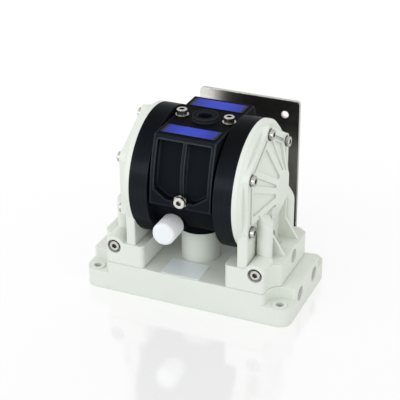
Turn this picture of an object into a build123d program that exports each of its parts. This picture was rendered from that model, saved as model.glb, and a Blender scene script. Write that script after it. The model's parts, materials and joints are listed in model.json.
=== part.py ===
from build123d import *
import math
import os

os.makedirs("parts", exist_ok=True)

# Air operated diaphragm pump with two fluid covers on a low manifold base.
# Millimetres, +Z up, +X along the diaphragm shaft, -Y is the front.
# The origin is the centre of the base's underside.

# ---------------------------------------------------------------- sizes
# Base
BASE_LEN = 180.0            # along the shaft
BASE_W = 94.6             # front to rear
BASE_H = 26.5
BASE_CORNER_R = 10.0
BASE_EDGE = 0.6
POCKET_Z = 16.4           # floor of the four bolt pockets
POCKET_R = 11.1
POCKET_LIP_R = 3.5        # rounding where a pocket opens
MOUNT_X = BASE_LEN / 2 - 9.25   # floor bolt positions
MOUNT_Y = BASE_W / 2 - 6.7
MOUNT_HOLE_R = 3.3
MOUNT_RIM_R = 6.2
MOUNT_RIM_H = 0.8
FOOT_CLEAR = 0.35         # foot wall set back from the pocket edge
PEDESTAL_X = -2.5
PEDESTAL_Y = -4.0
PEDESTAL_R = 16.2
PEDESTAL_TOP_Z = 54.5

# Ports, all one pipe size
PORT_R = 6.2
PORT_DEPTH = 14.0
PORT_MOUTH = 0.7
PORT_Y = 17.0
PORT_Z = 16.0
CHANNEL_R = 5.0
RISER_R = 4.5

# Centre housing
AXIS_Z = 98.5
FACE_X = 43.6             # joint plane of housing and cover
FLANGE_R = 53.1
FLANGE_IN_X = 28.0
DRUM_R = 44.0
BLOCK_X = 26.0
BLOCK_RISE = 49.0         # flat top above the shaft axis
BLOCK_TOP_Z = AXIS_Z + BLOCK_RISE
BLOCK_TOP_Y = 39.8
BLOCK_MID_Y = 48.9
BLOCK_LOW_Y = 52.0
BLOCK_MID_Z = BLOCK_TOP_Z - 27.5
BLOCK_LOW_Z = AXIS_Z - 6.5
BAY_DEPTH = 6.5
BAY_OUT_X = 22.6
BAY_IN_X = 1.7
BAY_TOP_Z = BLOCK_TOP_Z - 3.9
BAY_SIDE_Z = AXIS_Z + 6.5
BAY_LOW_Z = AXIS_Z - 0.9
BAY_CORNER_X = 12.0
LOWER_BOSS_R = 19.0
CHAMBER_R = 36.0
CHAMBER_X = 31.0          # floor of the air chamber
BEAD_R = 40.5
BEAD_HALF = 1.5
INLET_BOSS_R = 10.5
INLET_BOSS_H = 3.5
INLET_PASSAGE_R = 3.0

# Air valve, parallel to the shaft and above it
VALVE_DROP = 24.0
VALVE_Z = BLOCK_TOP_Z - VALVE_DROP
SLEEVE_R = 10.5
SLEEVE_HALF = 26.0
SPOOL_R = 6.5
SPOOL_CLEAR = 0.05
SPOOL_HALF = 17.0
SPOOL_NECK_R = 4.0
VALVE_PORT_R = 2.0

# Shaft and diaphragm group
SHAFT_R = 6.0
SHAFT_CLEAR = 0.05
BUSH_R = 8.5
BUSH_IN_X = 22.0
SEAL_R = 9.0
SEAL_IN_X = 18.5
SEAL_GAP = 0.3
BORE_R = 7.0
STUD_R = 4.0
STUD_X = 48.0
AIR_PLATE_R = 17.5
AIR_PLATE_T = 3.0
DISC_HALF = 1.0           # half the diaphragm's thickness
FLUID_PLATE_R = 17.0
FLUID_PLATE_T = 5.4
PIN_R = 2.5
PIN_DROP = 15.5           # pilot pin below the shaft axis
PIN_IN_X = 19.0
PIN_TIP_X = 35.5
PIN_HOLE_X = 15.5
PIN_CLEAR = 0.05

# Fluid covers
RIM_T = 3.9               # straight part of the cover rim
RIM_SLOPE_X = 7.2
RIM_SLOPE_R = 50.0
BEAM_TOP_X = 11.0
BEAM_OUT_LOW = 47.0       # distances across the flats, from the axis
BEAM_OUT_TOP = 45.4
BEAM_IN = 40.2
GROOVE_X = 8.6
DOME_FLAT = 37.6
DOME_TOP_X = 23.4
HUB_FLAT = 12.6
PANEL_DEPTH = 1.8          # sunk triangles between the radial ribs
PANEL_LOW_HALF = 10.6
PANEL_TOP_HALF = 1.5
PANEL_RIM = 1.6
PANEL_END = 2.2
WEDGE_DEPTH = 1.7          # narrow pocket along the middle of each rib
WEDGE_OUT_R = 39.5
WEDGE_IN_R = 16.5
WEDGE_OUT_HALF = 3.1
WEDGE_IN_HALF = 1.0
CAVITY_X = 14.9
CAVITY_STEP_X = 4.2
CAVITY_TOP_R = 20.0
BOLT_R = 45.0
BOLT_START = 30.0
BOLT_BOSS_R = 6.8
BOLT_BOSS_X = 11.2
BOLT_SEAT_X = 10.2
BOLT_SEAT_R = 5.1
BOLT_HOLE_R = 2.75

# Cover leg and foot
LEG_SPAN = (46.0, 54.5)   # front leg of the right cover, along X
REAR_LEG_SPAN = (42.6, 50.4)
LEG_Y = 46.2
FOOT_IN_X = 35.5
FOOT_OUT_X = BASE_LEN / 2 - 12.4
FOOT_TOP_Z = 47.0
FOOT_REAR_Y = 34.0        # behind this the foot is lower
FOOT_REAR_Z = 38.0
SEAM_H = 0.7              # shadow line between foot and base
SEAM_IN = 0.5
FOOT_CORNER_R = 4.0
FLANGE_GAP = 0.3
WEB_OUT_X = 59.0
WEB_Y = 16.5
WEB_TOP_Z = 70.0
GUSSET_Y = 15.5
GUSSET_T = 3.0
GUSSET_X = 64.4
GUSSET_TOP_Z = AXIS_Z - 9.5
GUSSET_KNEE_Z = 64.3
GUSSET_LOW_X = 75.3
COLUMN_X = 61.3
COLUMN_Y = 25.0
COLUMN_R = 6.4
COLUMN_FACE_Z = 75.5       # the column's end slopes from here up to the dome
COLUMN_TOP_Z = 88.0
FOOT_SCREW_X = 61.5
FOOT_SCREW_Z = 42.5
FOOT_BOSS_R = 9.6
FOOT_BOSS_LEN = 20.0
FOOT_RECESS_R = 6.0
FOOT_RECESS = 4.8
SIDE_BOSS_Z = 40.5
SIDE_BOSS_R = 9.4
SIDE_RECESS_R = 5.8
SIDE_RECESS = 8.0

# Ball checks in the feet
BALL_R = 4.75
BALL_CAGE_R = 5.4
SEAT_R = 8.0
SEAT_BORE_R = 3.6
SEAT_GAP = 2.0            # room for the seal ring under the seat
SEAT_T = 4.0
SEAT_LOW_Z = BASE_H + SEAT_GAP
SEAT_TOP_Z = SEAT_LOW_Z + SEAT_T
BALL_RISE = 3.55
BALL_Z = SEAT_TOP_Z + BALL_RISE
CAGE_H = 10.0
CAGE_TOP_Z = SEAT_TOP_Z + CAGE_H
PASSAGE_R = 3.5
PASSAGE_TOP_Z = 76.0
PASSAGE_IN_X = FACE_X + 2.4
RING_R = 6.3
RING_T = 0.98

# Fasteners
HEAD_R = 4.25
HEAD_H = 4.4
SHANK_R = 2.4
SOCKET_FLAT = 4.0
SOCKET_DEPTH = 2.4
COVER_SCREW_LEN = 20.0
FOOT_SCREW_LEN = 10.5
BASE_SCREW_X = 51.0
BASE_SCREW_Y = 39.0
BASE_SCREW_SEAT_Z = 8.0
BASE_SCREW_LEN = 26.0
TOP_SCREW_X = 20.3
TOP_SCREW_LEN = 11.0
WASHER_R = 5.5
WASHER_T = 1.0

# Earth screw on the front panel
EARTH_Z = 97.5
EARTH_PAD_Y = 47.6
EARTH_PAD_R = 6.5
EARTH_NUT_FLAT = 10.0
EARTH_NUT_T = 3.4
EARTH_HEAD_R = 4.8
EARTH_HEAD_H = 3.2
EARTH_SHANK_R = 2.9
EARTH_SOCKET = 4.0
EARTH_LEN = 12.0

# Muffler
MUFFLER_X = -12.3
MUFFLER_Z = 69.0
MUFFLER_R = 9.5
MUFFLER_IN_Y = -37.5
MUFFLER_OUT_Y = -58.3
MUFFLER_CLEAR = 0.3
MUFFLER_STEM_R = 5.5
MUFFLER_STEM_Y = -29.0
EXHAUST_BOSS_R = 9.6
EXHAUST_Y = -11.0
EXHAUST_R = 3.0

# Plates on the flat top and on the base
NAME_X = 23.2
NAME_IN_Y = 20.4
NAME_OUT_Y = 36.2
PLATE_T = 0.4
DATA_X0 = -20.7
DATA_X1 = 13.2
DATA_Y0 = -45.8
DATA_Y1 = -21.6

# Wall bracket
BRACKET_X = 45.95
BRACKET_Y = 96.8          # front face of the upright
BRACKET_T = 3.0
BRACKET_TOP_Z = 131.0
BRACKET_LEG_Y = 8.0
BRACKET_CORNER_R = 3.0
BRACKET_BEND_R = 4.0
BRACKET_HOLE_X = 32.9
BRACKET_HOLE_Z = 117.6
BRACKET_LOW_HOLE_Z = 30.0
BRACKET_HOLE_R = 3.2
BRACKET_SCREW_X = 30.0
BRACKET_SCREW_Y0 = 27.0
BRACKET_SCREW_Y1 = 41.0
BRACKET_SCREW_LEN = 8.0
BRACKET_HEAD_R = 4.0
BRACKET_HEAD_T = 1.8

CUT = 1.0                 # how far a cutting tool runs past a face
BOLT_ANGLES = [BOLT_START + 60 * i for i in range(6)]


# -------------------------------------------------------------- helpers
def box(x0, x1, y0, y1, z0, z1):
    centre = ((x0 + x1) / 2, (y0 + y1) / 2, (z0 + z1) / 2)
    return Pos(*centre) * Box(abs(x1 - x0), abs(y1 - y0), abs(z1 - z0))


def cyl_x(x0, x1, r, y=0.0, z=AXIS_Z):
    return Pos((x0 + x1) / 2, y, z) * Rot(0, 90, 0) * Cylinder(r, abs(x1 - x0))


def cyl_y(y0, y1, r, x, z):
    return Pos(x, (y0 + y1) / 2, z) * Rot(90, 0, 0) * Cylinder(r, abs(y1 - y0))


def cyl_z(z0, z1, r, x, y):
    return Pos(x, y, (z0 + z1) / 2) * Cylinder(r, abs(z1 - z0))


def turned_x(points, z=AXIS_Z):
    # points are (x, radius) pairs of a profile turned about the X direction
    outline = Polyline(*[(x, z + r) for x, r in points], close=True)
    face = make_face(Plane.XZ * outline)
    return revolve(face, Axis((0, 0, z), (1, 0, 0)))


def group(solids):
    return Compound(children=list(solids))


def mirrored(shape):
    return mirror(shape, about=Plane.YZ)


def bolt_point(angle):
    a = math.radians(angle)
    return BOLT_R * math.cos(a), AXIS_Z + BOLT_R * math.sin(a)


def hexagon(x, flat):
    # hexagon across the shaft axis with its corners towards the cover bolts
    plane = Plane(origin=(x, 0, AXIS_Z), x_dir=(0, 1, 0), z_dir=(1, 0, 0))
    return plane * Rot(0, 0, BOLT_START) * RegularPolygon(flat, 6, major_radius=False)


def hex_prism(x0, x1, flat0, flat1):
    return loft([hexagon(x0, flat0), hexagon(x1, flat1)])


def cap_screw(length, head_r=HEAD_R, head_h=HEAD_H, shank_r=SHANK_R, flat=SOCKET_FLAT):
    # socket head screw with its seat at the origin and its head towards +Z
    head = Pos(0, 0, head_h / 2) * Cylinder(head_r, head_h)
    head = chamfer(head.edges().group_by(Axis.Z)[-1], head_r * 0.1)
    shank = Pos(0, 0, -length / 2) * Cylinder(shank_r, length)
    depth = min(SOCKET_DEPTH, head_h * 0.7)
    socket = RegularPolygon(flat / 2, 6, major_radius=False)
    pocket = extrude(Pos(0, 0, head_h - depth) * socket, depth + CUT)
    return head + shank - pocket


def placed(screw, point, direction):
    return Plane(origin=point, z_dir=direction).location * screw


# ---------------------------------------------------------- base manifold
def round_mouths(plan, half_x, half_y):
    # rounds the corners where the bolt pockets meet the long and the short sides
    def outer(v):
        on_long = abs(abs(v.Y) - half_y) < 0.01 and abs(v.X) > MOUNT_X - 2 * POCKET_R
        on_short = abs(abs(v.X) - half_x) < 0.01 and abs(v.Y) > MOUNT_Y - 2 * POCKET_R
        return on_long or on_short

    return fillet([v for v in plan.vertices() if outer(v)], POCKET_LIP_R)


def foot_outline(inset):
    # rectangle with the two outer corners cut to the bolt pockets
    x_in, x_out = FOOT_IN_X + inset, FOOT_OUT_X - inset
    half_y = BASE_W / 2 - inset
    body = Pos((x_in + x_out) / 2, 0) * Rectangle(x_out - x_in, 2 * half_y)
    for s in (-1, 1):
        body -= pocket_outline(s, FOOT_CLEAR + inset)
    return round_mouths(body, x_out, half_y)


def upper_outline():
    # plan of the base above the pocket floors
    plan = Rectangle(BASE_LEN, BASE_W)
    for s in (-1, 1):
        cut = pocket_outline(s, 0.0)
        plan -= cut
        plan -= mirrored(cut)
    return round_mouths(plan, BASE_LEN / 2, BASE_W / 2)


def pocket_outline(side_y, clear):
    r = POCKET_R + clear
    far_x = BASE_LEN / 2 + 2 * CUT
    far_y = BASE_W / 2 + 2 * CUT
    cut = Pos(MOUNT_X, side_y * MOUNT_Y) * Circle(r)
    width = far_x - MOUNT_X + r
    mid_x = MOUNT_X - r + width / 2
    cut += Pos(mid_x, side_y * (MOUNT_Y + far_y) / 2) * Rectangle(width, far_y - MOUNT_Y)
    depth = far_y - MOUNT_Y + r
    mid_y = side_y * (MOUNT_Y - r + depth / 2)
    cut += Pos((MOUNT_X + far_x) / 2, mid_y) * Rectangle(far_x - MOUNT_X, depth)
    return cut


def build_base():
    base = extrude(RectangleRounded(BASE_LEN, BASE_W, BASE_CORNER_R), POCKET_Z)
    upper = extrude(Pos(0, 0, POCKET_Z) * upper_outline(), BASE_H - POCKET_Z)
    base += chamfer(upper.edges().group_by(Axis.Z)[-1], BASE_EDGE)
    for side_x in (-1, 1):
        for side_y in (-1, 1):
            x, y = side_x * MOUNT_X, side_y * MOUNT_Y
            base += cyl_z(POCKET_Z - CUT, POCKET_Z + MOUNT_RIM_H, MOUNT_RIM_R, x, y)
            base -= cyl_z(-CUT, BASE_H, MOUNT_HOLE_R, x, y)
    base += cyl_z(BASE_H - CUT, PEDESTAL_TOP_Z, PEDESTAL_R, PEDESTAL_X, PEDESTAL_Y)
    for y in (-PORT_Y, PORT_Y):
        end = BASE_LEN / 2
        base -= cyl_x(-end, end, CHANNEL_R, y, PORT_Z)
        for s in (-1, 1):
            base -= cyl_x(s * (end - PORT_DEPTH), s * (end + CUT), PORT_R, y, PORT_Z)
            mouth = Cone(PORT_R, PORT_R + PORT_MOUTH, PORT_MOUTH)
            spot = (s * (end - PORT_MOUTH / 2), y, PORT_Z)
            base -= Plane(origin=spot, z_dir=(s, 0, 0)).location * mouth
            side = math.copysign(COLUMN_Y, y)
            base -= cyl_z(PORT_Z, BASE_H + CUT, RISER_R, s * COLUMN_X, side)
    for x, y in base_screw_points():
        base -= cyl_z(-CUT, BASE_SCREW_SEAT_Z, HEAD_R + 0.6, x, y)
        base -= cyl_z(0, BASE_H + CUT, SHANK_R, x, y)
    base -= box(-BRACKET_X, BRACKET_X, BRACKET_LEG_Y, BASE_W, -CUT, BRACKET_T)
    for x, y in bracket_screw_points():
        base -= cyl_z(0, BRACKET_T + BRACKET_SCREW_LEN, SHANK_R, x, y)
    return base


def base_screw_points():
    return [(sx * BASE_SCREW_X, sy * BASE_SCREW_Y) for sx in (-1, 1) for sy in (-1, 1)]


def bracket_screw_points():
    xs = (-BRACKET_SCREW_X, BRACKET_SCREW_X)
    return [(x, y) for x in xs for y in (BRACKET_SCREW_Y0, BRACKET_SCREW_Y1)]


def build_port_plugs():
    plugs = []
    for y in (-PORT_Y, PORT_Y):
        end = BASE_LEN / 2
        plug = cyl_x(-end, -end + PORT_DEPTH, PORT_R, y, PORT_Z)
        socket = RegularPolygon(PORT_R * 0.55, 6, major_radius=False)
        tool = extrude(socket, PORT_DEPTH * 0.5)
        plug -= Plane(origin=(-end - CUT, y, PORT_Z), z_dir=(1, 0, 0)).location * tool
        plugs.append(plug)
    return group(plugs)


# ---------------------------------------------------------- centre housing
def block_profile(shift):
    # side view of the block: flat top, front and rear faces bowed outwards
    top, mid, low = (BLOCK_TOP_Y - shift, BLOCK_MID_Y - shift, BLOCK_LOW_Y - shift)
    front = ThreePointArc((-top, BLOCK_TOP_Z), (-mid, BLOCK_MID_Z), (-low, BLOCK_LOW_Z))
    rear = ThreePointArc((low, BLOCK_LOW_Z), (mid, BLOCK_MID_Z), (top, BLOCK_TOP_Z))
    bottom = Line((-low, BLOCK_LOW_Z), (low, BLOCK_LOW_Z))
    roof = Line((top, BLOCK_TOP_Z), (-top, BLOCK_TOP_Z))
    return make_face([front, bottom, rear, roof])


def side_slab(face, half):
    return extrude(Plane.YZ.offset(-half) * face, 2 * half)


def build_bay_cutters():
    # two panels of each face, left after the bowed core is kept
    outline = Polyline(
        (BAY_IN_X, BAY_TOP_Z), (BAY_OUT_X, BAY_TOP_Z), (BAY_OUT_X, BAY_SIDE_Z),
        (BAY_CORNER_X, BAY_LOW_Z), (BAY_IN_X, BAY_LOW_Z), close=True)
    far = BLOCK_LOW_Y + CUT
    bay = extrude(Plane.XZ.offset(-far) * make_face(outline), 2 * far)
    bays = bay + mirrored(bay)
    return bays - side_slab(block_profile(BAY_DEPTH), BLOCK_X)


def build_rib_relief():
    # the middle rib sinks behind the frame towards its lower end
    outline = Polyline(
        (BLOCK_TOP_Y - 0.2, BAY_TOP_Z), (BLOCK_MID_Y - 3.2, BLOCK_MID_Z + 5),
        (EARTH_PAD_Y, BLOCK_MID_Z - 8), (EARTH_PAD_Y - 0.4, BAY_LOW_Z),
        (BLOCK_LOW_Y + CUT, BAY_LOW_Z), (BLOCK_LOW_Y + CUT, BAY_TOP_Z), close=True)
    rear = side_slab(make_face(outline), BAY_IN_X + 0.2)
    return rear + mirror(rear, about=Plane.XZ)


def build_housing():
    body = cyl_x(-FLANGE_IN_X - CUT, FLANGE_IN_X + CUT, DRUM_R)
    for s in (-1, 1):
        body += cyl_x(s * FLANGE_IN_X, s * FACE_X, FLANGE_R)
    block = side_slab(block_profile(0.0), BLOCK_X)
    block = fillet(block.edges().filter_by(Axis.X).group_by(Axis.Z)[-1], 1.2)
    body += block - build_bay_cutters() - build_rib_relief()
    body += cyl_z(PEDESTAL_TOP_Z, AXIS_Z - DRUM_R / 2, LOWER_BOSS_R, PEDESTAL_X, PEDESTAL_Y)
    body += cyl_z(BLOCK_TOP_Z - CUT, BLOCK_TOP_Z + INLET_BOSS_H, INLET_BOSS_R, 0, 0)
    body += cyl_y(0, MUFFLER_IN_Y, EXHAUST_BOSS_R, MUFFLER_X, MUFFLER_Z)
    far_y = -BLOCK_LOW_Y - CUT
    body -= cyl_y(MUFFLER_IN_Y, far_y, MUFFLER_R + MUFFLER_CLEAR, MUFFLER_X, MUFFLER_Z)
    # air chambers with the groove for the diaphragm bead
    for s in (-1, 1):
        body -= cyl_x(s * CHAMBER_X, s * (FACE_X + CUT), CHAMBER_R)
        body -= cyl_x(s * (FACE_X - BEAD_HALF), s * (FACE_X + CUT), BEAD_R)
        body -= cyl_x(s * BUSH_IN_X, s * CHAMBER_X, BUSH_R)
        body -= cyl_x(s * SEAL_IN_X, s * BUSH_IN_X, SEAL_R)
        pin_z = AXIS_Z - PIN_DROP
        body -= cyl_x(s * PIN_HOLE_X, s * CHAMBER_X, PIN_R + PIN_CLEAR, 0, pin_z)
        for a in BOLT_ANGLES:
            y, z = bolt_point(a)
            deep = FACE_X + BOLT_SEAT_X - COVER_SCREW_LEN
            body -= cyl_x(s * deep, s * (FACE_X + CUT), SHANK_R, y, z)
    body -= cyl_x(-SEAL_IN_X, SEAL_IN_X, BORE_R)
    body -= cyl_x(-CHAMBER_X, CHAMBER_X, SLEEVE_R, 0, VALVE_Z)
    # air inlet, exhaust and the earth pad
    inlet_top = BLOCK_TOP_Z + INLET_BOSS_H
    body -= cyl_z(inlet_top - PORT_DEPTH + CUT, inlet_top + CUT, PORT_R, 0, 0)
    mouth = Cone(PORT_R, PORT_R + PORT_MOUTH, PORT_MOUTH)
    body -= Pos(0, 0, inlet_top - PORT_MOUTH / 2) * mouth
    body -= cyl_z(VALVE_Z, inlet_top, INLET_PASSAGE_R, 0, 0)
    body -= cyl_y(EXHAUST_Y, MUFFLER_IN_Y - CUT, MUFFLER_STEM_R, MUFFLER_X, MUFFLER_Z)
    body -= cyl_z(MUFFLER_Z, VALVE_Z, EXHAUST_R, MUFFLER_X, EXHAUST_Y)
    body -= cyl_y(-EARTH_PAD_Y, -BLOCK_LOW_Y - CUT, EARTH_PAD_R, 0, EARTH_Z)
    deep = EARTH_PAD_Y + EARTH_NUT_T - EARTH_LEN
    body -= cyl_y(-deep, -EARTH_PAD_Y - CUT, EARTH_SHANK_R, 0, EARTH_Z)
    for s in (-1, 1):
        low = BLOCK_TOP_Z + WASHER_T - TOP_SCREW_LEN
        body -= cyl_z(low, BLOCK_TOP_Z + CUT, SHANK_R, s * TOP_SCREW_X, 0)
    return body


# ------------------------------------------------------------ fluid cover
def facet_panel(angle):
    # sunk panel on the sloping facet between two neighbouring bolts
    def corner(x, flat, a):
        r = flat / math.cos(math.radians(30))
        t = math.radians(a)
        return Vector(FACE_X + x, r * math.cos(t), AXIS_Z + r * math.sin(t))

    low_a = corner(BEAM_TOP_X, DOME_FLAT, angle)
    low_b = corner(BEAM_TOP_X, DOME_FLAT, angle + 60)
    top_a = corner(DOME_TOP_X, HUB_FLAT, angle)
    top_b = corner(DOME_TOP_X, HUB_FLAT, angle + 60)
    origin = (low_a + low_b) * 0.5
    across = (low_b - low_a).normalized()
    up = ((top_a + top_b) * 0.5 - origin)
    plane = Plane(origin=origin, x_dir=across, z_dir=across.cross(up))
    y1 = up.length - PANEL_END
    outline = FilletPolyline(
        (-PANEL_LOW_HALF, PANEL_RIM), (PANEL_LOW_HALF, PANEL_RIM),
        (PANEL_TOP_HALF, y1), (-PANEL_TOP_HALF, y1), radius=PANEL_TOP_HALF * 0.6, close=True)
    tool = extrude(make_face(outline), PANEL_DEPTH + CUT)
    turn = plane.z_dir.X
    drop = -PANEL_DEPTH if turn > 0 else -CUT
    return plane.location * Pos(0, 0, drop) * tool


def rib_wedge(angle):
    # narrow pocket that runs from a bolt boss towards the hub along the ridge
    t = math.radians(angle)
    spoke = Vector(0, math.cos(t), math.sin(t))
    r_low = DOME_FLAT / math.cos(math.radians(30))
    r_top = HUB_FLAT / math.cos(math.radians(30))
    low = Vector(FACE_X + BEAM_TOP_X, 0, AXIS_Z) + spoke * r_low
    top = Vector(FACE_X + DOME_TOP_X, 0, AXIS_Z) + spoke * r_top
    ridge = top - low
    across = Vector(1, 0, 0).cross(spoke)
    plane = Plane(origin=low, x_dir=ridge, z_dir=ridge.cross(across))
    s0 = ridge.length * (r_low - WEDGE_OUT_R) / (r_low - r_top)
    s1 = ridge.length * (r_low - WEDGE_IN_R) / (r_low - r_top)
    outline = Polyline(
        (s0, -WEDGE_OUT_HALF), (s1, -WEDGE_IN_HALF), (s1, WEDGE_IN_HALF),
        (s0, WEDGE_OUT_HALF), close=True)
    drop = -WEDGE_DEPTH if plane.z_dir.X > 0 else -CUT
    return plane.location * Pos(0, 0, drop) * extrude(make_face(outline), WEDGE_DEPTH + CUT)


def cover_disc():
    rim = turned_x([
        (FACE_X, 0), (FACE_X, FLANGE_R), (FACE_X + RIM_T, FLANGE_R),
        (FACE_X + RIM_SLOPE_X, RIM_SLOPE_R), (FACE_X + RIM_SLOPE_X, 0)])
    low = FACE_X + RIM_T
    beam = hex_prism(low, FACE_X + BEAM_TOP_X, BEAM_OUT_LOW, BEAM_OUT_TOP)
    beam = beam & cyl_x(low, FACE_X + BEAM_TOP_X, BOLT_R + BOLT_BOSS_R)
    beam -= hex_prism(FACE_X + GROOVE_X, FACE_X + DOME_TOP_X, BEAM_IN, BEAM_IN)
    top = FACE_X + BEAM_TOP_X
    dome = hex_prism(FACE_X, top, DOME_FLAT, DOME_FLAT)
    dome += hex_prism(top, FACE_X + DOME_TOP_X, DOME_FLAT, HUB_FLAT)
    disc = rim + beam + dome
    for a in BOLT_ANGLES:
        if a < 180 or a > 300:
            disc -= facet_panel(a)
        if a != 270:
            disc -= rib_wedge(a)
    for a in BOLT_ANGLES:
        y, z = bolt_point(a)
        disc += cyl_x(FACE_X, FACE_X + BOLT_BOSS_X, BOLT_BOSS_R, y, z)
    return disc


def cover_leg(front, rear):
    low_z = FOOT_REAR_Z - CUT
    top_z = AXIS_Z - BOLT_R / 2
    leg = box(*front, -LEG_Y, 0, low_z, top_z)
    leg += box(*rear, 0, LEG_Y, low_z, top_z)
    outer = [e for e in leg.edges().filter_by(Axis.Z) if abs(abs(e.center().Y) - LEG_Y) < 0.01]
    leg = fillet(outer, 1.0)
    in_x = min(front[0], rear[0])
    leg += box(in_x, WEB_OUT_X, -WEB_Y, WEB_Y, low_z, WEB_TOP_Z)
    slant = Polyline(
        (in_x, GUSSET_TOP_Z), (GUSSET_X, GUSSET_TOP_Z), (GUSSET_X, GUSSET_KNEE_Z),
        (GUSSET_LOW_X, FOOT_TOP_Z), (GUSSET_LOW_X, FOOT_TOP_Z - CUT),
        (in_x, FOOT_TOP_Z - CUT), close=True)
    for y in (-GUSSET_Y - GUSSET_T / 2, GUSSET_Y - GUSSET_T / 2):
        leg += extrude(Plane.XZ.offset(-y) * make_face(slant), -GUSSET_T)
    out_x = COLUMN_X + COLUMN_R + CUT
    side = Polyline(
        (in_x, FOOT_TOP_Z - CUT), (out_x, FOOT_TOP_Z - CUT), (out_x, COLUMN_FACE_Z),
        (WEB_OUT_X - CUT, COLUMN_TOP_Z), (in_x, COLUMN_TOP_Z), close=True)
    limit = extrude(Plane.XZ.offset(-BASE_W) * make_face(side), 2 * BASE_W)
    for s in (-1, 1):
        column = cyl_z(FOOT_TOP_Z - CUT, COLUMN_TOP_Z, COLUMN_R, COLUMN_X, s * COLUMN_Y)
        leg += column & limit
    return leg


def cover_foot():
    foot = extrude(Pos(0, 0, BASE_H) * foot_outline(0.0), FOOT_TOP_Z - BASE_H)
    inner = foot.edges().filter_by(Axis.Z).group_by(Axis.X)[0]
    foot = fillet(inner, FOOT_CORNER_R)
    foot -= box(0, BASE_LEN, FOOT_REAR_Y, BASE_W, FOOT_REAR_Z, FOOT_TOP_Z + CUT)
    limit = extrude(Pos(0, 0, BASE_H) * foot_outline(0.0), FOOT_TOP_Z)
    front = -BASE_W / 2
    boss = cyl_y(front, front + FOOT_BOSS_LEN, FOOT_BOSS_R, FOOT_SCREW_X, FOOT_SCREW_Z)
    side = cyl_x(COLUMN_X, FOOT_OUT_X, SIDE_BOSS_R, 0, SIDE_BOSS_Z)
    foot += (boss + side) & limit
    # the foot's lowest band is set in, so that it parts from the base by a shadow line
    band = extrude(Pos(0, 0, BASE_H) * foot_outline(0.0), SEAM_H)
    foot -= band - extrude(Pos(0, 0, BASE_H) * foot_outline(SEAM_IN), SEAM_H)
    return foot


def build_cover(front, rear):
    cover = cover_disc() + cover_leg(front, rear) + cover_foot()
    cover -= turned_x([
        (FACE_X - CUT, 0), (FACE_X - CUT, CHAMBER_R), (FACE_X + CAVITY_STEP_X, CHAMBER_R),
        (FACE_X + CAVITY_X, CAVITY_TOP_R), (FACE_X + CAVITY_X, 0)])
    cover -= cyl_x(FACE_X - CUT, FACE_X + BEAD_HALF, BEAD_R)
    # the foot reaches under the housing flange with a small gap
    cover -= cyl_x(FOOT_IN_X - CUT, FACE_X, FLANGE_R + FLANGE_GAP)
    for a in BOLT_ANGLES:
        y, z = bolt_point(a)
        cover -= cyl_x(FACE_X - CUT, FACE_X + DOME_TOP_X, BOLT_HOLE_R, y, z)
        cover -= cyl_x(FACE_X + BOLT_SEAT_X, FACE_X + DOME_TOP_X, BOLT_SEAT_R, y, z)
    face = -BASE_W / 2
    seat = face + FOOT_RECESS
    cover -= cyl_y(seat, face - CUT, FOOT_RECESS_R, FOOT_SCREW_X, FOOT_SCREW_Z)
    cover -= cyl_y(seat + FOOT_SCREW_LEN, face, SHANK_R, FOOT_SCREW_X, FOOT_SCREW_Z)
    for s in (-1, 1):
        cover -= ball_passage(s * COLUMN_Y)
        top = BASE_SCREW_SEAT_Z + BASE_SCREW_LEN
        cover -= cyl_z(BASE_H - CUT, top, SHANK_R, BASE_SCREW_X, s * BASE_SCREW_Y)
    x0 = FOOT_OUT_X - SIDE_RECESS
    cover -= cyl_x(x0, FOOT_OUT_X + CUT, SIDE_RECESS_R, 0, SIDE_BOSS_Z - 1.0)
    return cover


def ball_passage(y):
    # seat pocket, ball cage and the way up into the pumping chamber
    way = cyl_z(BASE_H - CUT, SEAT_TOP_Z, SEAT_R, COLUMN_X, y)
    way += cyl_z(SEAT_TOP_Z - CUT, CAGE_TOP_Z, BALL_CAGE_R, COLUMN_X, y)
    way += cyl_z(CAGE_TOP_Z - CUT, PASSAGE_TOP_Z, PASSAGE_R, COLUMN_X, y)
    way += cyl_x(PASSAGE_IN_X, COLUMN_X, PASSAGE_R, y, PASSAGE_TOP_Z)
    return way


# ------------------------------------------------------- check valve parts
def check_points():
    return [(sx * COLUMN_X, sy * COLUMN_Y) for sx in (-1, 1) for sy in (-1, 1)]


def build_ball(x, y):
    return Pos(x, y, BALL_Z) * Sphere(BALL_R)


def build_seats():
    seats = []
    for x, y in check_points():
        seat = cyl_z(SEAT_LOW_Z, SEAT_TOP_Z, SEAT_R, x, y)
        seat -= cyl_z(SEAT_LOW_Z - CUT, SEAT_TOP_Z + CUT, SEAT_BORE_R, x, y)
        seats.append(seat)
    return group(seats)


def build_seat_rings():
    mid = (BASE_H + SEAT_LOW_Z) / 2
    return group(Pos(x, y, mid) * Torus(RING_R, RING_T) for x, y in check_points())


# --------------------------------------------------- diaphragm and shaft
def build_diaphragm():
    # flat centre, one rolled convolution and a thick clamped bead
    mid = FACE_X
    t = DISC_HALF
    return turned_x([
        (mid - t, STUD_R), (mid - t, AIR_PLATE_R + 1), (mid + t, AIR_PLATE_R + 5),
        (mid + 3 * t, AIR_PLATE_R + 9), (mid + t, CHAMBER_R - 3), (mid - t, CHAMBER_R - 0.5),
        (mid - BEAD_HALF, CHAMBER_R + 0.5), (mid - BEAD_HALF, BEAD_R), (mid + BEAD_HALF, BEAD_R),
        (mid + BEAD_HALF, CHAMBER_R), (mid + 3 * t, CHAMBER_R - 3), (mid + 5 * t, AIR_PLATE_R + 9),
        (mid + 3 * t, AIR_PLATE_R + 4), (mid + t, AIR_PLATE_R), (mid + t, STUD_R)])


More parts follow.
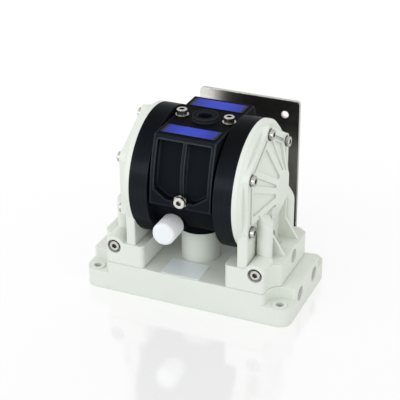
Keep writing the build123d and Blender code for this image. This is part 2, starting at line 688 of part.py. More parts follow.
def build_shaft():
    shoulder = FACE_X - DISC_HALF - AIR_PLATE_T
    shaft = cyl_x(-shoulder, shoulder, SHAFT_R)
    shaft += cyl_x(-STUD_X, STUD_X, STUD_R)
    # middle groove that signals the air valve
    ring = cyl_x(-3, 3, SHAFT_R + CUT) - cyl_x(-3, 3, SHAFT_R - 1)
    return shaft - ring


def build_air_plate():
    x1 = FACE_X - DISC_HALF
    x0 = x1 - AIR_PLATE_T
    return turned_x([
        (x0, STUD_R), (x0, AIR_PLATE_R - 4), (x0 + 1, AIR_PLATE_R - 1), (x0 + 2, AIR_PLATE_R),
        (x1, AIR_PLATE_R), (x1, STUD_R)])


def build_fluid_plate():
    x0 = FACE_X + DISC_HALF
    x1 = x0 + FLUID_PLATE_T
    plate = turned_x([
        (x0, 0), (x0, FLUID_PLATE_R), (x0 + 1.6, FLUID_PLATE_R), (x0 + 3.2, FLUID_PLATE_R - 2.5),
        (x1, SHAFT_R + 2), (x1, 0)])
    plate -= cyl_x(x0 - CUT, STUD_X, STUD_R)
    return plate


def build_bushes():
    bush = cyl_x(BUSH_IN_X, CHAMBER_X, BUSH_R) - cyl_x(0, FACE_X, SHAFT_R + SHAFT_CLEAR)
    return group([bush, mirrored(bush)])


def build_shaft_seals():
    seal = turned_x([
        (SEAL_IN_X, SHAFT_R + SEAL_GAP + 0.8), (SEAL_IN_X, SEAL_R), (BUSH_IN_X, SEAL_R),
        (BUSH_IN_X, SHAFT_R + SEAL_GAP), (SEAL_IN_X + 1.2, SHAFT_R + SEAL_GAP)])
    return group([seal, mirrored(seal)])


# ------------------------------------------------------------- air valve
def build_sleeve():
    sleeve = cyl_x(-SLEEVE_HALF, SLEEVE_HALF, SLEEVE_R, 0, VALVE_Z)
    sleeve -= cyl_x(-CHAMBER_X, CHAMBER_X, SPOOL_R + SPOOL_CLEAR, 0, VALVE_Z)
    # rows of air ports between shallow outer grooves
    for x in (-12, 0, 12):
        ring = cyl_x(x - 3, x + 3, SLEEVE_R + CUT, 0, VALVE_Z)
        ring -= cyl_x(x - 3, x + 3, SLEEVE_R - 1.2, 0, VALVE_Z)
        sleeve -= ring
        sleeve -= cyl_z(VALVE_Z - SLEEVE_R, VALVE_Z + SLEEVE_R, VALVE_PORT_R, x, 0)
        sleeve -= cyl_y(-SLEEVE_R, SLEEVE_R, VALVE_PORT_R, x, VALVE_Z)
    return sleeve


def build_spool():
    spool = cyl_x(-SPOOL_HALF, SPOOL_HALF, SPOOL_R, 0, VALVE_Z)
    for x in (-8, 8):
        ring = cyl_x(x - 4, x + 4, SPOOL_R + CUT, 0, VALVE_Z)
        spool -= ring - cyl_x(x - 4, x + 4, SPOOL_NECK_R, 0, VALVE_Z)
    return spool


def build_valve_caps():
    cap = cyl_x(SLEEVE_HALF, CHAMBER_X, SLEEVE_R, 0, VALVE_Z)
    socket = RegularPolygon(SOCKET_FLAT, 6, major_radius=False)
    spot = Plane(origin=(CHAMBER_X - SOCKET_DEPTH, 0, VALVE_Z), z_dir=(1, 0, 0))
    cap -= spot.location * extrude(socket, SOCKET_DEPTH + CUT)
    return group([cap, mirrored(cap)])


def build_pilot_pin():
    pin_z = AXIS_Z - PIN_DROP
    return turned_x([
        (PIN_IN_X, 0), (PIN_IN_X, PIN_R), (PIN_TIP_X - 1, PIN_R), (PIN_TIP_X, PIN_R - 1),
        (PIN_TIP_X, 0)], pin_z)


# ------------------------------------------------------------- fasteners
def build_cover_screws():
    seat = FACE_X + BOLT_SEAT_X
    screws = []
    for a in BOLT_ANGLES:
        y, z = bolt_point(a)
        screws.append(placed(cap_screw(COVER_SCREW_LEN), (seat, y, z), (1, 0, 0)))
    return group(screws)


def build_foot_screws():
    screws = []
    for s in (-1, 1):
        seat = (s * FOOT_SCREW_X, FOOT_RECESS - BASE_W / 2, FOOT_SCREW_Z)
        screws.append(placed(cap_screw(FOOT_SCREW_LEN), seat, (0, -1, 0)))
    return group(screws)


def build_base_screws():
    screws = []
    for x, y in base_screw_points():
        screws.append(placed(cap_screw(BASE_SCREW_LEN), (x, y, BASE_SCREW_SEAT_Z), (0, 0, -1)))
    return group(screws)


def build_top_screws():
    seat_z = BLOCK_TOP_Z + WASHER_T
    xs = (-TOP_SCREW_X, TOP_SCREW_X)
    return group(placed(cap_screw(TOP_SCREW_LEN), (x, 0, seat_z), (0, 0, 1)) for x in xs)


def build_top_washers():
    washers = []
    for x in (-TOP_SCREW_X, TOP_SCREW_X):
        disc = cyl_z(BLOCK_TOP_Z, BLOCK_TOP_Z + WASHER_T, WASHER_R, x, 0)
        washers.append(disc - cyl_z(0, BLOCK_TOP_Z + 2 * WASHER_T, SHANK_R, x, 0))
    return group(washers)


def build_earth_nut():
    plan = RegularPolygon(EARTH_NUT_FLAT / 2, 6, major_radius=False)
    nut = extrude(plan, EARTH_NUT_T) - Cylinder(EARTH_SHANK_R, 4 * EARTH_NUT_T)
    return Plane(origin=(0, -EARTH_PAD_Y, EARTH_Z), z_dir=(0, -1, 0)).location * nut


def build_earth_screw():
    screw = cap_screw(EARTH_LEN, EARTH_HEAD_R, EARTH_HEAD_H, EARTH_SHANK_R, EARTH_SOCKET)
    seat = (0, -EARTH_PAD_Y - EARTH_NUT_T, EARTH_Z)
    return placed(screw, seat, (0, -1, 0))


# ---------------------------------------------------- muffler and plates
def build_muffler():
    y0, y1 = MUFFLER_IN_Y, MUFFLER_OUT_Y
    profile = Polyline(
        (0, y0), (MUFFLER_R - 0.8, y0), (MUFFLER_R, y0 - 0.8), (MUFFLER_R, y1 + 2.2),
        (MUFFLER_R - 0.7, y1 + 0.7), (MUFFLER_R - 2.2, y1), (0, y1), close=True)
    body = revolve(make_face(profile), Axis((0, 0, 0), (0, 1, 0)))
    body = Pos(MUFFLER_X, 0, MUFFLER_Z) * body
    return body + cyl_y(MUFFLER_STEM_Y, y0 - CUT, MUFFLER_STEM_R, MUFFLER_X, MUFFLER_Z)


def build_nameplate(side):
    y0, y1 = side * NAME_IN_Y, side * NAME_OUT_Y
    plan = Pos(0, (y0 + y1) / 2, BLOCK_TOP_Z) * RectangleRounded(2 * NAME_X, abs(y1 - y0), 1.0)
    return extrude(plan, PLATE_T)


def build_data_plate():
    mid = ((DATA_X0 + DATA_X1) / 2, (DATA_Y0 + DATA_Y1) / 2, BASE_H)
    plan = RectangleRounded(DATA_X1 - DATA_X0, DATA_Y1 - DATA_Y0, 1.0)
    return extrude(Pos(*mid) * plan, PLATE_T)


def build_bracket():
    outer = BRACKET_Y + BRACKET_T
    path = FilletPolyline(
        (BRACKET_LEG_Y, BRACKET_T / 2), (outer - BRACKET_T / 2, BRACKET_T / 2),
        (outer - BRACKET_T / 2, BRACKET_TOP_Z), radius=BRACKET_BEND_R + BRACKET_T / 2)
    strip = make_face(offset(path, BRACKET_T / 2, side=Side.BOTH))
    bracket = extrude(Plane.YZ.offset(-BRACKET_X) * strip, 2 * BRACKET_X)
    bracket &= box(-BRACKET_X, BRACKET_X, BRACKET_LEG_Y, outer, 0, BRACKET_TOP_Z)
    corners = bracket.edges().filter_by(Axis.Y).group_by(Axis.Z)[-1]
    bracket = fillet(corners, BRACKET_CORNER_R)
    for x in (-BRACKET_HOLE_X, BRACKET_HOLE_X):
        for z in (BRACKET_LOW_HOLE_Z, BRACKET_HOLE_Z):
            bracket -= cyl_y(BRACKET_Y - CUT, outer + CUT, BRACKET_HOLE_R, x, z)
    for x, y in bracket_screw_points():
        bracket -= cyl_z(-CUT, BRACKET_T + CUT, SHANK_R + 0.3, x, y)
        bracket -= cyl_z(-CUT, BRACKET_HEAD_T + 0.2, BRACKET_HEAD_R + 0.3, x, y)
    return bracket


def build_bracket_screws():
    length = BRACKET_T - BRACKET_HEAD_T - 0.2 + BRACKET_SCREW_LEN
    screw = cap_screw(length, BRACKET_HEAD_R, BRACKET_HEAD_T, SHANK_R, 2.5)
    seat_z = BRACKET_HEAD_T + 0.2
    return group(placed(screw, (x, y, seat_z), (0, 0, -1)) for x, y in bracket_screw_points())


# ---------------------------------------------------------------- output
def save(shape, node):
    export_step(shape, f"parts/{node}.step")


cover_right = build_cover(LEG_SPAN, REAR_LEG_SPAN)
cover_left = mirrored(build_cover(REAR_LEG_SPAN, LEG_SPAN))
diaphragm = build_diaphragm()
air_plate = build_air_plate()
fluid_plate = build_fluid_plate()
pin = build_pilot_pin()
cover_screws = build_cover_screws()

save(build_base(), "base_manifold")
save(build_port_plugs(), "port_plugs")
save(build_housing(), "center_housing")
save(cover_right, "fluid_cover_right")
save(cover_left, "fluid_cover_left")
save(diaphragm, "diaphragm_right")
save(mirrored(diaphragm), "diaphragm_left")
save(build_shaft(), "diaphragm_shaft")
save(air_plate, "air_side_plate_right")
save(mirrored(air_plate), "air_side_plate_left")
save(fluid_plate, "fluid_side_plate_right")
save(mirrored(fluid_plate), "fluid_side_plate_left")
save(build_bushes(), "shaft_bushes")
save(build_shaft_seals(), "shaft_seals")
save(build_sleeve(), "air_valve_sleeve")
save(build_spool(), "air_valve_spool")
save(build_valve_caps(), "air_valve_caps")
save(pin, "pilot_pin_right")
save(mirrored(pin), "pilot_pin_left")
save(build_ball(COLUMN_X, -COLUMN_Y), "inlet_ball_right")
save(build_ball(-COLUMN_X, -COLUMN_Y), "inlet_ball_left")
save(build_ball(COLUMN_X, COLUMN_Y), "outlet_ball_right")
save(build_ball(-COLUMN_X, COLUMN_Y), "outlet_ball_left")
save(build_seats(), "ball_seats")
save(build_seat_rings(), "seat_rings")
save(cover_screws, "cover_screws_right")
save(mirrored(cover_screws), "cover_screws_left")
save(build_foot_screws(), "foot_screws")
save(build_base_screws(), "base_screws")
save(build_top_screws(), "top_screws")
save(build_top_washers(), "top_washers")
save(build_earth_nut(), "earth_nut")
save(build_earth_screw(), "earth_screw")
save(build_muffler(), "muffler")
save(build_nameplate(-1), "nameplate_front")
save(build_nameplate(1), "nameplate_rear")
save(build_data_plate(), "data_plate")
save(build_bracket(), "wall_bracket")
save(build_bracket_screws(), "bracket_screws")
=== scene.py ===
# %% [markdown]
# # Air operated diaphragm pump
# A small double diaphragm pump is a sandwich: a black centre housing between two cream fluid
# covers, standing on a manifold base. Every part with a real shape is already in the packed
# frame, so this lesson is about light, finishes and the small things that a tap, a moulder
# and a label printer add.

# %% Load the frame
import json
import math

import bpy
from mathutils import Matrix, Vector


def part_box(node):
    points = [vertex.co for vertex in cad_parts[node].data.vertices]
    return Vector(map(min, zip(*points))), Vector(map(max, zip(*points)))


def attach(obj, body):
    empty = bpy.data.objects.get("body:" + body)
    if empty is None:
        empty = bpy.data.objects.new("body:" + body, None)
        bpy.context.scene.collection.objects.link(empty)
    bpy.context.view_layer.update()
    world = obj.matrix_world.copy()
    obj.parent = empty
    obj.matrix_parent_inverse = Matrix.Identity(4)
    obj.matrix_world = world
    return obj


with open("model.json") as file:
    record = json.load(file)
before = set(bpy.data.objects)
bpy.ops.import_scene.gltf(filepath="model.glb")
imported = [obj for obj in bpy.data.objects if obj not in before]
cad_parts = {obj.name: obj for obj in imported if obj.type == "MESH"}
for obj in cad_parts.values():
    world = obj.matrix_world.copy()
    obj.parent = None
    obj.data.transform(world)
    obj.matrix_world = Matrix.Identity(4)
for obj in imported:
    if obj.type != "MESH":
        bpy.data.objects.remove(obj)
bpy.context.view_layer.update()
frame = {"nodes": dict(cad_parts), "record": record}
nodes = frame["nodes"]
bpy.ops.object.select_all(action="DESELECT")

# %% [markdown]
# The pump is seen from the front and a little from its right, from well above the base.
# A long lens keeps the two round covers nearly the same size.

# %% Camera
AZIMUTH, ELEVATION, ROLL = (math.radians(a) for a in (23.33, 27.42, -0.28))
AIM_HEIGHT = 0.070
DISTANCE = 1.04493
SLIDE_X, SLIDE_Y = 0.00469, -0.00430
LENS = 114.5
SENSOR_WIDTH = 36.0
NEAREST_SEEN = 0.01

towards = Vector((math.sin(AZIMUTH) * math.cos(ELEVATION),
                  -math.cos(AZIMUTH) * math.cos(ELEVATION), math.sin(ELEVATION)))
level = Vector((math.cos(AZIMUTH), math.sin(AZIMUTH), 0.0))
above = towards.cross(level)
right = level * math.cos(ROLL) + above * math.sin(ROLL)
up = above * math.cos(ROLL) - level * math.sin(ROLL)
eye = Vector((0, 0, AIM_HEIGHT)) + towards * DISTANCE - right * SLIDE_X - up * SLIDE_Y

camera_data = bpy.data.cameras.new("camera")
camera_data.lens = LENS
camera_data.sensor_width = SENSOR_WIDTH
camera_data.clip_start = NEAREST_SEEN
camera = bpy.data.objects.new("camera", camera_data)
turn = Matrix((right, up, towards)).transposed().to_4x4()
camera.matrix_world = Matrix.Translation(eye) @ turn
bpy.context.collection.objects.link(camera)
bpy.context.scene.camera = camera
print("camera at", [round(v, 3) for v in eye])

# %% [markdown]
# Large soft lamps stand for the cloth walls of a light tent: a weak one above, one on each
# side, and a front one that reaches the base between the feet and draws a cool gleam on
# the black flanges.

# %% Lamps
def soft_lamp(name, place, aim, size, watts, colour=(1, 1, 1)):
    data = bpy.data.lights.new(name, "AREA")
    data.shape = "RECTANGLE"
    data.size, data.size_y = size
    data.energy = watts
    data.color = colour
    lamp = bpy.data.objects.new(name, data)
    lamp.location = place
    lamp.rotation_euler = (Vector(aim) - Vector(place)).to_track_quat("-Z", "Y").to_euler()
    bpy.context.collection.objects.link(lamp)


soft_lamp("tent_top", place=(-0.10, -0.62, 1.0), aim=(0, 0, 0.04), size=(1.1, 0.8), watts=0.8)
soft_lamp("tent_left", place=(-1.05, -0.60, 0.50), aim=(0, 0, 0.08), size=(0.7, 0.9), watts=1.6)
soft_lamp("tent_right", place=(1.1, -0.50, 0.40), aim=(0, 0, 0.08), size=(0.7, 0.8), watts=2.5)
soft_lamp("tent_front", place=(-0.40, -1.06, 0.44), aim=(0, 0, 0.06), size=(0.50, 0.36), watts=2.5,
          colour=(0.92, 0.96, 1.0))

# %% [markdown]
# Node materials are written as sums. `Sock` wraps a socket so that `a * 0.5 + 0.2` adds the
# Math nodes, and `Net.node` adds any other node with its settings first, then its inputs.

# %% Shader arithmetic
class Sock:
    def __init__(self, net, socket):
        self.net, self.socket = net, socket

    def _maths(self, kind, a, b):
        return self.net.node("ShaderNodeMath", {"operation": kind}, {0: a, 1: b})

    def __add__(self, other):
        return self._maths("ADD", self, other)

    def __sub__(self, other):
        return self._maths("SUBTRACT", self, other)

    def __rsub__(self, other):
        return self._maths("SUBTRACT", other, self)

    def __mul__(self, other):
        return self._maths("MULTIPLY", self, other)

    def above(self, other):
        return self._maths("MAXIMUM", self, other)

    __radd__ = __add__
    __rmul__ = __mul__


class Net:
    def __init__(self, owner, shader="Principled BSDF"):
        owner.use_nodes = True
        self.owner = owner
        self.tree = owner.node_tree
        self.shader = self.tree.nodes[shader]

    def node(self, kind, settings=None, values=None, out=0):
        made = self.tree.nodes.new(kind)
        for key, value in (settings or {}).items():
            setattr(made, key, value)
        for key, value in (values or {}).items():
            self.feed(made.inputs[key], value)
        return Sock(self, made.outputs[out])

    def feed(self, target, value):
        if isinstance(value, Sock):
            self.tree.links.new(value.socket, target)
        else:
            target.default_value = value

    def place(self, stretch=(1.0, 1.0, 1.0)):
        # where a point lies on the pump, in metres; a stretch above 1 packs a pattern closer
        point = self.node("ShaderNodeTexCoord", out="Object")
        return self.node("ShaderNodeMapping", {}, {"Vector": point, "Scale": stretch})

    def noise(self, scale, detail=2.0, rough=0.5, stretch=(1.0, 1.0, 1.0)):
        return self.node("ShaderNodeTexNoise", {}, {
            "Vector": self.place(stretch), "Scale": scale, "Detail": detail,
            "Roughness": rough}, out="Fac")

    def cells(self, scale):
        return self.node("ShaderNodeTexVoronoi", {}, {
            "Vector": self.place(), "Scale": scale}, out="Distance")

    def blend(self, amount, low, high):
        return self.node("ShaderNodeMix", {"data_type": "RGBA"}, {
            0: amount, 6: low, 7: high}, out=2)

    def spread(self, value, low, high):
        # 0 at low and 1 at high, with nothing outside
        return self.node("ShaderNodeMapRange", {"clamp": True}, {0: value, 1: low, 2: high})

    def facing_up(self, low, high):
        normal = self.node("ShaderNodeNewGeometry", out="Normal")
        rise = self.node("ShaderNodeSeparateXYZ", {}, {"Vector": normal}, out="Z")
        return self.spread(rise, low, high)

    def openness(self, distance):
        # 1 on an open face and less in a corner, where the materials paint shade
        return self.node("ShaderNodeAmbientOcclusion", {"samples": 6}, {
            "Distance": distance}, out="AO")

    def soft_edge(self, radius):
        # the normal of an edge that the mould or the tool has broken
        return self.node("ShaderNodeBevel", {"samples": 4}, {"Radius": radius}, out="Normal")

    def apart(self, middle=(0.0, 0.0, 0.0)):
        # how far a point lies from middle along x, y and z, in metres
        point = self.node("ShaderNodeTexCoord", out="Object")
        offset = self.node("ShaderNodeVectorMath", {"operation": "SUBTRACT"}, {
            0: point, 1: middle}, out="Vector")
        split = self.node("ShaderNodeSeparateXYZ", {}, {"Vector": offset}, out="X")
        return [Sock(self, split.socket.node.outputs[axis]) for axis in ("X", "Y", "Z")]

    def edge(self, radius, low=0.02, high=0.35):
        # 1 on a sharp edge and 0 on a face
        bent = self.soft_edge(radius)
        flat = self.node("ShaderNodeNewGeometry", out="Normal")
        same = self.node("ShaderNodeVectorMath", {"operation": "DOT_PRODUCT"}, {
            0: bent, 1: flat}, out="Value")
        return self.spread(1.0 - same, low, high)

    def bump(self, height, strength, distance, under):
        return self.node("ShaderNodeBump", {}, {
            "Height": height, "Strength": strength, "Distance": distance, "Normal": under})

    def set(self, **values):
        for key, value in values.items():
            self.feed(self.shader.inputs[key.replace("_", " ")], value)
        return self.owner

    def not_lighting(self):
        # 1 for what the lens, a mirror or glass sees, and 0 for light that falls on the pump
        rays = [self.node("ShaderNodeLightPath", out=f"Is {kind} Ray")
                for kind in ("Camera", "Glossy", "Transmission")]
        return rays[0].above(rays[1]).above(rays[2])


def surface(name, **values):
    net = Net(bpy.data.materials.new(name))
    net.set(**values)
    return net


def paint(material, *names):
    for name in names:
        for slot in nodes[name].material_slots:
            slot.material = material
    print(material.name, "on", len(names), "nodes")


# %% [markdown]
# The covers and base are glass filled polypropylene: a pale greenish cream with a faint
# cloudy flow pattern, a fine eroded texture from the mould and a soft gleam. Shade is
# painted a little grey into the corners.

# %% Cream plastic
CREAM_SHADED = (0.678, 0.720, 0.650, 1)
CREAM_BRIGHT = (0.752, 0.786, 0.724, 1)
CREAM_FLECK = (0.60, 0.63, 0.56, 1)
CORNER_PAINTED_SHADE = (0.40, 0.425, 0.365, 1)
CORNER_SHADE_REACH = 0.009
COVER_EDGE = 0.0007
FLOW_HEIGHT = 0.0004
MOULD_GRAIN = 0.00006


def cream_plastic():
    net = surface("cream_plastic", IOR=1.47)
    cloud = net.noise(24.0, 3.0, 0.55)
    fleck = net.noise(420.0, 2.0, 0.6)
    body = net.blend(cloud, CREAM_SHADED, CREAM_BRIGHT)
    body = net.blend(net.spread(fleck, 0.66, 0.80) * 0.25, body, CREAM_FLECK)
    # painted shade: corners are blended towards grey
    painted_corner_shade = net.spread(net.openness(CORNER_SHADE_REACH), 0.75, 0.15) * 0.26
    shade = net.blend(painted_corner_shade, body, CORNER_PAINTED_SHADE)
    wave = net.bump(cloud, 0.10, FLOW_HEIGHT, net.soft_edge(COVER_EDGE))
    grain = net.bump(net.noise(1300.0, 2.0, 0.6), 0.22, MOULD_GRAIN, wave)
    return net.set(Base_Color=shade, Roughness=0.38 + cloud * 0.14, Normal=grain)


cover_cream = cream_plastic()
paint(cover_cream, "base_manifold", "port_plugs", "fluid_cover_right", "fluid_cover_left",
      "fluid_side_plate_right", "fluid_side_plate_left")

# %% [markdown]
# The housing is carbon black acetal. The two round flanges get fine lathe rings and a thin
# glossy coat, and the moulded block between them stays duller, with highlights painted on
# its upper edges. A white room would wash out faces that look up, so shade is painted into
# the black there, low down and in its corners. That painted shade is a choice for the look
# and not something that acetal does.

# %% Black plastic
FLANGE_START = 0.0272
FLANGE_FADE = 0.0005
LATHE_STRETCH = (26.0, 1.0, 1.0)
LATHE_HEIGHT = 0.00025
DARK_UP_TO, LIT_FROM = 0.035, 0.095
GLEAM_FROM, GLEAM_FULL = 0.070, 0.128
BLACK_SHADED = (0.0062, 0.0082, 0.0112, 1)
BLACK_BRIGHT = (0.0088, 0.0114, 0.0154, 1)
BLACK_RING = (0.0110, 0.0200, 0.0340, 1)
BLACK_PAINTED_LOW_SHADE = (0.0008, 0.0009, 0.0012, 1)
BLACK_PAINTED_TOP_SHADE = (0.0010, 0.0012, 0.0015, 1)
BLACK_PAINTED_EDGE_HIGHLIGHT = (0.066, 0.076, 0.088, 1)
BLACK_PAINTED_CORNER_SHADE = (0.002, 0.002, 0.0025, 1)
GLEAM_WIDTH = 0.0034
CORNER_REACH = 0.012
HOUSING_EDGE = 0.0009


def black_plastic():
    net = surface("black_plastic", IOR=1.09, Coat_IOR=1.125, Coat_Roughness=0.24)
    along, _, height = net.apart()
    flange = net.spread(
        along.above(along * -1.0), FLANGE_START - FLANGE_FADE, FLANGE_START + FLANGE_FADE)
    crown = net.facing_up(0.35, 0.95)
    cloud = net.noise(30.0, 3.0, 0.6)
    rings = net.noise(34.0, 3.0, 0.6, LATHE_STRETCH)
    body = net.blend(cloud, BLACK_SHADED, BLACK_BRIGHT)
    body = net.blend(net.spread(rings, 0.50, 0.70) * flange * 0.5, body, BLACK_RING)
    # painted shade: the black is made deeper low down
    lit = net.spread(height, DARK_UP_TO, LIT_FROM)
    body = net.blend(lit, BLACK_PAINTED_LOW_SHADE, body)
    # painted shade: faces that look up get a deeper black
    body = net.blend(crown * 0.8, body, BLACK_PAINTED_TOP_SHADE)
    # painted highlight: upper edges away from the flanges and tops are made lighter
    painted_highlight = net.spread(height, GLEAM_FROM, GLEAM_FULL)
    painted_highlight = painted_highlight * (1.0 - flange * 0.8) * (1.0 - crown * 0.6)
    shade = net.blend(net.edge(GLEAM_WIDTH, 0.0, 0.30) * painted_highlight, body, BLACK_PAINTED_EDGE_HIGHLIGHT)
    # painted shade: corners get a deeper black
    painted_black_corner_shade = net.spread(net.openness(CORNER_REACH), 0.6, 0.1)
    shade = net.blend(painted_black_corner_shade * 0.8, shade, BLACK_PAINTED_CORNER_SHADE)
    turned = net.bump(rings * flange, 0.20, LATHE_HEIGHT, net.soft_edge(HOUSING_EDGE))
    grain = net.bump(net.noise(1200.0, 2.0, 0.6), 0.25, MOULD_GRAIN, turned)
    return net.set(Base_Color=shade, Roughness=0.55 + cloud * 0.14, Normal=grain,
                   Coat_Weight=flange * lit * (1.0 - crown * 0.75))


housing_black = black_plastic()
paint(housing_black, "center_housing", "air_side_plate_right", "air_side_plate_left",
      "air_valve_caps")

# %% [markdown]
# Screws, shaft and spool are bright stainless steel, a little smeared by handling, with
# shade painted dark into the sockets of the heads.

# %% Stainless steel
STEEL_SMEARED = (0.36, 0.35, 0.325, 1)
STEEL_BRIGHT = (0.56, 0.55, 0.515, 1)
SOCKET_PAINTED_SHADE = (0.055, 0.050, 0.042, 1)
SOCKET_SHADE_REACH = 0.004
SCREW_EDGE = 0.0004
TURNED_STRETCH = (1.0, 1.0, 6.0)
SCRATCH_HEIGHT = 0.00003


def stainless_steel():
    net = surface("stainless_steel", Metallic=1.0)
    smear = net.noise(160.0, 3.0, 0.6)
    body = net.blend(smear, STEEL_SMEARED, STEEL_BRIGHT)
    # painted shade: the sockets of the heads are darkened
    painted_socket_shade = net.spread(net.openness(SOCKET_SHADE_REACH), 0.80, 0.20)
    shade = net.blend(painted_socket_shade, body, SOCKET_PAINTED_SHADE)
    scratch = net.noise(900.0, 2.0, 0.7, TURNED_STRETCH)
    fine = net.bump(scratch, 0.15, SCRATCH_HEIGHT, net.soft_edge(SCREW_EDGE))
    return net.set(Base_Color=shade, Roughness=0.16 + smear * 0.16, Normal=fine)


paint(stainless_steel(), "diaphragm_shaft", "air_valve_spool", "pilot_pin_right",
      "pilot_pin_left", "ball_seats", "cover_screws_right", "cover_screws_left", "foot_screws",
      "base_screws", "top_screws", "top_washers", "earth_nut", "earth_screw", "bracket_screws")

# %% [markdown]
# The bracket is brushed sheet steel with its grain across. Its lower half is darkened in the
# colour, which stands in for the dark housing that such a sheet would mirror.

# %% Brushed wall bracket
SHEET_DARK = (0.42, 0.40, 0.375, 1)
SHEET_BRIGHT = (0.60, 0.58, 0.55, 1)
SHEET_MIRRORED = (0.16, 0.16, 0.16, 1)
SHEET_EDGE_LIGHT = (0.62, 0.61, 0.59, 1)
MIRROR_TOP, MIRROR_FULL = 0.105, 0.045
BRUSH_STRETCH = (1.0, 1.0, 16.0)
BRUSH_HEIGHT = 0.00005
SHEET_EDGE = 0.0008


def bracket_steel():
    net = surface("bracket_steel", Metallic=1.0)
    streak = net.noise(60.0, 4.0, 0.65, BRUSH_STRETCH)
    cloud = net.noise(18.0, 2.0, 0.5)
    body = net.blend(streak, SHEET_DARK, SHEET_BRIGHT)
    height = net.apart()[2]
    body = net.blend(net.spread(height, MIRROR_TOP, MIRROR_FULL) * 0.7, body, SHEET_MIRRORED)
    # the edges of the sheet are made a lighter grey
    light_edges = net.edge(SHEET_EDGE)
    shade = net.blend(light_edges * 0.6, body, SHEET_EDGE_LIGHT)
    fine = net.bump(streak, 0.10, BRUSH_HEIGHT, net.soft_edge(SHEET_EDGE))
    return net.set(Base_Color=shade, Roughness=0.17 + cloud * 0.14, Normal=fine)


paint(bracket_steel(), "wall_bracket")

# %% [markdown]
# The muffler is sintered polyethylene, white grains pressed together, and shade is painted
# on its end, which is greyer than its side. The three plates are bare: two blue foils on the
# block, each with a dark border, and a silvery one on the base.

# %% Muffler and plates
MUFFLER_WHITE = (0.94, 0.95, 0.96, 1)
MUFFLER_GREY = (0.86, 0.88, 0.90, 1)
MUFFLER_END_PAINTED_SHADE = (0.72, 0.76, 0.80, 1)
MUFFLER_SOOT = (0.62, 0.64, 0.66, 1)
END_FROM_Y, END_FULL_Y = -0.0566, -0.0578
PIT_DEPTH = 0.0002
MUFFLER_EDGE = 0.0012
FOIL_EDGE = 0.0003
FOIL_RIPPLE = 0.0001
INK_MIDDLE = (0.030, 0.060, 0.580, 1)
INK_END = (0.010, 0.018, 0.230, 1)
INK_CLOUD = (0.010, 0.017, 0.300, 1)
INK_BORDER = (0.005, 0.006, 0.014, 1)
INK_FADE_FROM, INK_FADE_FULL = 0.006, 0.024
END_BORDER_IN, END_BORDER_OUT = 0.0024, 0.0019
SIDE_BORDER_IN, SIDE_BORDER_OUT = 0.0008, 0.0004
SILVER_DARK = (0.82, 0.90, 0.91, 1)
SILVER_BRIGHT = (0.90, 0.97, 0.98, 1)


def porous_plastic():
    net = surface("porous_plastic", Roughness=0.8)
    grains = net.cells(1100.0)
    body = net.blend(grains, MUFFLER_WHITE, MUFFLER_GREY)
    _, out, _ = net.apart()
    # painted shade: the end face is made greyer
    body = net.blend(net.spread(out, END_FROM_Y, END_FULL_Y) * 0.6, body, MUFFLER_END_PAINTED_SHADE)
    soot = net.spread(net.noise(90.0, 3.0, 0.6), 0.55, 0.85) * 0.15
    shade = net.blend(soot, body, MUFFLER_SOOT)
    pits = net.bump(grains, 0.45, PIT_DEPTH, net.soft_edge(MUFFLER_EDGE))
    return net.set(Base_Color=shade, Normal=pits)


def blue_foil(plate):
    # the border is nearly black, and the blue is deepest at the two ends
    low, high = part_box(plate)
    middle = [(a + b) / 2 for a, b in zip(low, high)]
    net = surface("foil_" + plate, IOR=1.16)
    along, across, _ = net.apart(middle)
    far = along.above(along * -1.0)
    wide = across.above(across * -1.0)
    half_long, half_wide = (high[0] - low[0]) / 2, (high[1] - low[1]) / 2
    ends = net.spread(far, half_long - END_BORDER_OUT, half_long - END_BORDER_IN)
    sides = net.spread(wide, half_wide - SIDE_BORDER_OUT, half_wide - SIDE_BORDER_IN)
    tint = net.noise(40.0, 2.0)
    ink = net.blend(net.spread(far, INK_FADE_FROM, INK_FADE_FULL), INK_MIDDLE, INK_END)
    ink = net.blend(tint * 0.4, ink, INK_CLOUD)
    shade = net.blend(ends * sides, INK_BORDER, ink)
    ripple = net.bump(net.noise(130.0, 2.0), 0.10, FOIL_RIPPLE, net.soft_edge(FOIL_EDGE))
    return net.set(Base_Color=shade, Roughness=0.30 + tint * 0.12, Normal=ripple)


def silver_foil():
    net = surface("silver_foil", Metallic=0.1)
    tint = net.noise(55.0, 3.0)
    shade = net.blend(tint, SILVER_DARK, SILVER_BRIGHT)
    ripple = net.bump(net.noise(110.0, 2.0), 0.12, FOIL_RIPPLE, net.soft_edge(FOIL_EDGE))
    return net.set(Base_Color=shade, Roughness=0.28 + tint * 0.2, Normal=ripple)


paint(porous_plastic(), "muffler")
paint(blue_foil("nameplate_front"), "nameplate_front")
paint(blue_foil("nameplate_rear"), "nameplate_rear")
paint(silver_foil(), "data_plate")

# %% [markdown]
# Inside are rubber diaphragms, seals and rings, and white acetal bushes, a valve sleeve and
# check balls. They show only in a cutaway, so a plain finish is enough. On a real pump the
# diaphragms bend as the shaft slides. Here they stay at mid stroke, and the clamped plates
# pass through them at both ends of the stroke, which is an open fault.

# %% Hidden rubber and bearing plastics
RUBBER_DARK = (0.012, 0.012, 0.013, 1)
RUBBER_BLOOM = (0.028, 0.028, 0.029, 1)
RUBBER_GRAIN = 0.00005
ACETAL_SHADED = (0.68, 0.67, 0.62, 1)
ACETAL_BRIGHT = (0.78, 0.77, 0.73, 1)
ACETAL_GRAIN = 0.00004
RUBBER_EDGE, ACETAL_EDGE = 0.0004, 0.0003


def seal_rubber():
    net = surface("seal_rubber")
    bloom = net.noise(200.0, 2.0)
    shade = net.blend(bloom, RUBBER_DARK, RUBBER_BLOOM)
    grain = net.bump(net.noise(1500.0, 2.0), 0.3, RUBBER_GRAIN, net.soft_edge(RUBBER_EDGE))
    return net.set(Base_Color=shade, Roughness=0.62 + bloom * 0.2, Normal=grain)


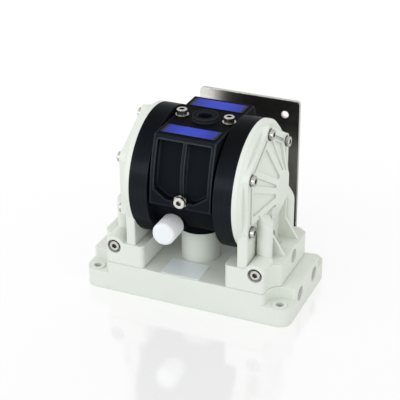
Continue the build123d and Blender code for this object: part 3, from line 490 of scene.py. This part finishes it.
def white_acetal():
    net = surface("white_acetal")
    cloud = net.noise(120.0, 2.0)
    shade = net.blend(cloud, ACETAL_SHADED, ACETAL_BRIGHT)
    grain = net.bump(net.noise(1500.0, 2.0), 0.15, ACETAL_GRAIN, net.soft_edge(ACETAL_EDGE))
    return net.set(Base_Color=shade, Roughness=0.28 + cloud * 0.15, Normal=grain)


paint(seal_rubber(), "diaphragm_right", "diaphragm_left", "shaft_seals", "seat_rings")
paint(white_acetal(), "shaft_bushes", "air_valve_sleeve", "inlet_ball_right", "inlet_ball_left",
      "outlet_ball_right", "outlet_ball_left")

# %% [markdown]
# The two fluid ports and the air inlet are tapped for pipe. A tap cuts one tooth that winds
# down the bore, so each thread here is one three-sided profile carried round a screw.

# %% Tapped threads
THREAD_PITCH = 0.00141
THREAD_TURNS = 7
TOOTH_R = 0.00048
TOOTH_SUNK = 0.35
TOOTH_WIDER = 1.5
STEPS_PER_TURN = 40
SMOOTH_UNDER = math.radians(40)
PORT_TURN = (0.0, 0.0, 0.0)
INLET_TURN = (0.0, -math.pi / 2, 0.0)
mounts = {m["name"]: m for m in frame["record"]["mounts"]}


def tapped_thread(name, mount, turn, finish):
    bore = mount["dims"]["r_mm"] / 1000
    bpy.ops.object.select_all(action="DESELECT")
    bpy.ops.mesh.primitive_circle_add(vertices=3, radius=TOOTH_R, rotation=(-math.pi / 2, 0, 0))
    bpy.ops.object.transform_apply(rotation=True)
    thread = bpy.context.object
    thread.name = name
    bpy.ops.object.mode_set(mode="EDIT")
    bpy.ops.mesh.select_all(action="SELECT")
    bpy.ops.transform.resize(value=(TOOTH_WIDER, 1.0, 1.0), center_override=(0, 0, 0))
    bpy.ops.transform.translate(value=(-THREAD_PITCH, 0, bore - TOOTH_R * TOOTH_SUNK))
    bpy.ops.object.mode_set(mode="OBJECT")
    winding = thread.modifiers.new("winding", "SCREW")
    winding.axis = "X"
    winding.screw_offset = -THREAD_PITCH
    winding.iterations = THREAD_TURNS
    winding.steps = STEPS_PER_TURN
    winding.render_steps = STEPS_PER_TURN
    bpy.ops.object.modifier_apply(modifier="winding")
    bpy.ops.object.mode_set(mode="EDIT")
    bpy.ops.mesh.select_all(action="DESELECT")
    bpy.ops.mesh.select_non_manifold()
    bpy.ops.mesh.edge_face_add()
    bpy.ops.mesh.select_all(action="SELECT")
    bpy.ops.mesh.normals_make_consistent(inside=False)
    bpy.ops.object.mode_set(mode="OBJECT")
    bpy.ops.object.shade_smooth_by_angle(angle=SMOOTH_UNDER)
    thread.location = mount["pos_m"]
    thread.rotation_euler = turn
    bpy.ops.object.transform_apply(location=True, rotation=True)
    thread.data.materials.append(finish)
    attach(thread, "pump_body")
    print(name, "faces:", len(thread.data.polygons))


for end in ("front", "rear"):
    tapped_thread("port_thread_" + end, mounts["fluid_port_" + end], PORT_TURN, cover_cream)
tapped_thread("inlet_thread", mounts["air_inlet"], INLET_TURN, housing_black)

# %% [markdown]
# The studio floor is glossy white paper. The camera sees it as almost white by its own
# glow, and it mirrors the bright room, so the pump shows in it as a faint grey reflection.
# For every other ray it is plain paper that throws light back under the covers.

# %% Floor and background
FLOOR_SIZE = 6.0
PAPER_LIT = (0.80, 0.80, 0.80, 1)
PAPER_SEEN = (0.22, 0.22, 0.22, 1)
PAPER_GLOW = (0.64, 0.64, 0.64, 1)
NO_GLOW = (0, 0, 0, 1)
ROOM_LIGHT = (0.87, 0.87, 0.87, 1)
ROOM_SEEN = (1, 1, 1, 1)

bpy.ops.mesh.primitive_plane_add(size=FLOOR_SIZE, location=(0, 0, 0))
floor = bpy.context.object
floor.name = "studio_floor"
net = surface("studio_paper", Roughness=0.10, IOR=2.0, Emission_Strength=1.0)
seen = net.not_lighting()
floor.data.materials.append(net.set(
    Base_Color=net.blend(seen, PAPER_LIT, PAPER_SEEN),
    Emission_Color=net.blend(seen, NO_GLOW, PAPER_GLOW)))

room = bpy.data.worlds.new("white_room")
bpy.context.scene.world = room
sky = Net(room, "Background")
sky.set(Color=sky.blend(sky.not_lighting(), ROOM_LIGHT, ROOM_SEEN))
bpy.context.scene.view_settings.view_transform = "Standard"
print("floor and world ready")

# %% [markdown]
# The lesson ends here.

# %% Close the lesson
print("lesson ends")
